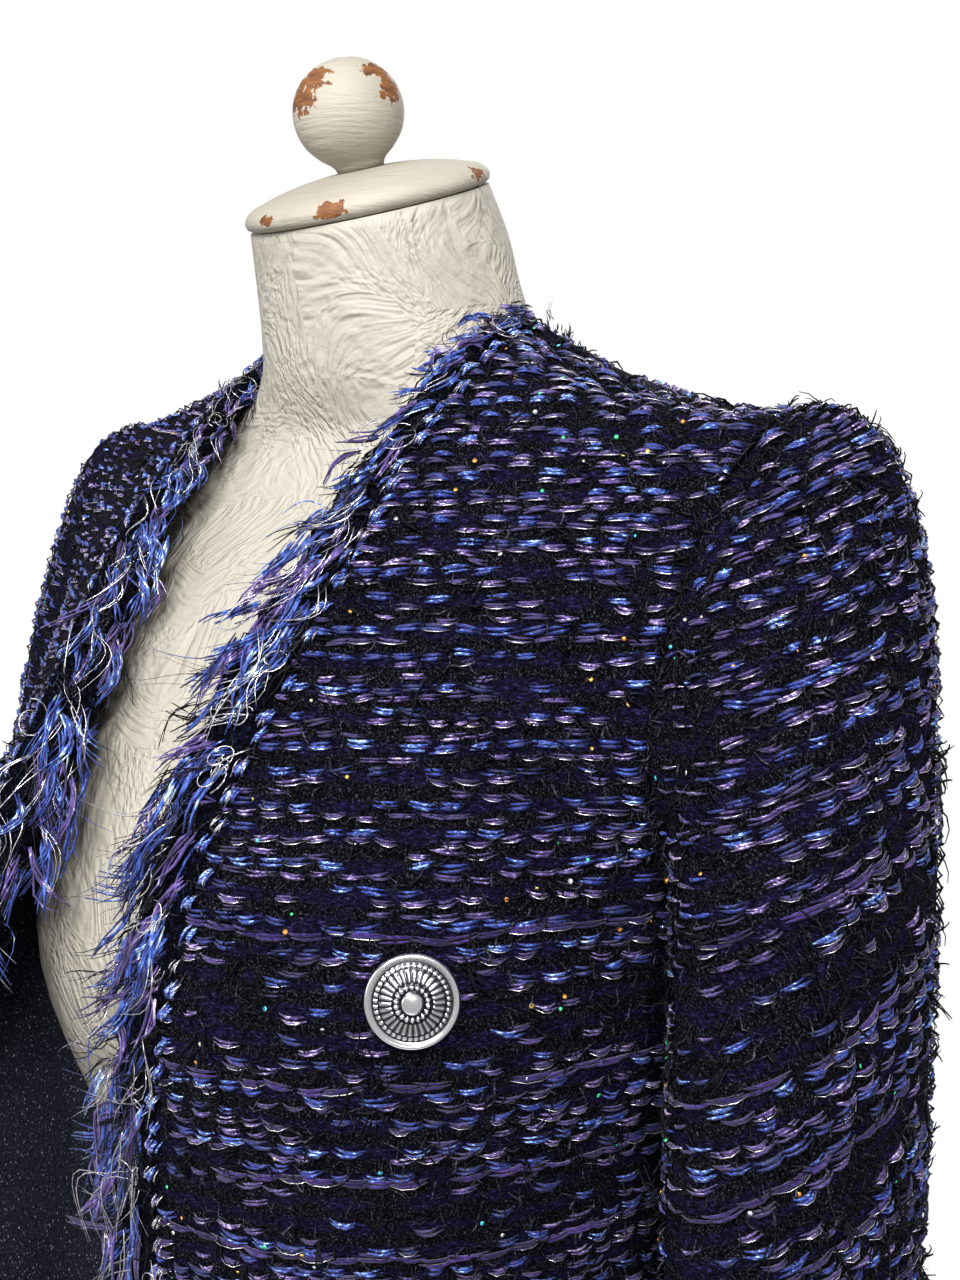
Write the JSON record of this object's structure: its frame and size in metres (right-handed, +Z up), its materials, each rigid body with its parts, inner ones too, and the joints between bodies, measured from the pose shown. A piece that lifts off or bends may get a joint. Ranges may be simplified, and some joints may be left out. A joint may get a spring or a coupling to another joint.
{
  "type": "fringed tweed jacket on a dress form",
  "caption": "Collarless fringe-edged tweed jacket with set-in sleeves and domed metal buttons, worn open on a limbless dress form with a turned neck cap and ball finial.",
  "frame": {"origin": "bottom centre of the bounding box, on the form's flat base", "axes": "+Z up, the front of the jacket towards -Y, the wearer's left towards +X"},
  "size_m": [0.512, 0.3786, 0.8328],
  "materials": {
    "tweed": "rough boucle weave of black, blue and purple yarn with silver thread",
    "yarn": "loose yarn ends",
    "silver": "polished silver-coloured metal",
    "plaster": "cream brushed plaster coat",
    "painted_wood": "cream paint, chipped"
  },
  "bodies": {
    "root": {"front_left": "tweed", "front_right": "tweed", "back": "tweed", "sleeve_left": "tweed", "sleeve_right": "tweed", "fringe_left": "yarn", "fringe_right": "yarn", "fringe_neck": "yarn", "button_left_1": "silver", "button_left_2": "silver", "button_left_3": "silver", "button_right_1": "silver", "button_right_2": "silver", "button_right_3": "silver", "form_body": "plaster", "form_neck_cap": "painted_wood", "form_finial": "painted_wood"}
  },
  "joints": []
}
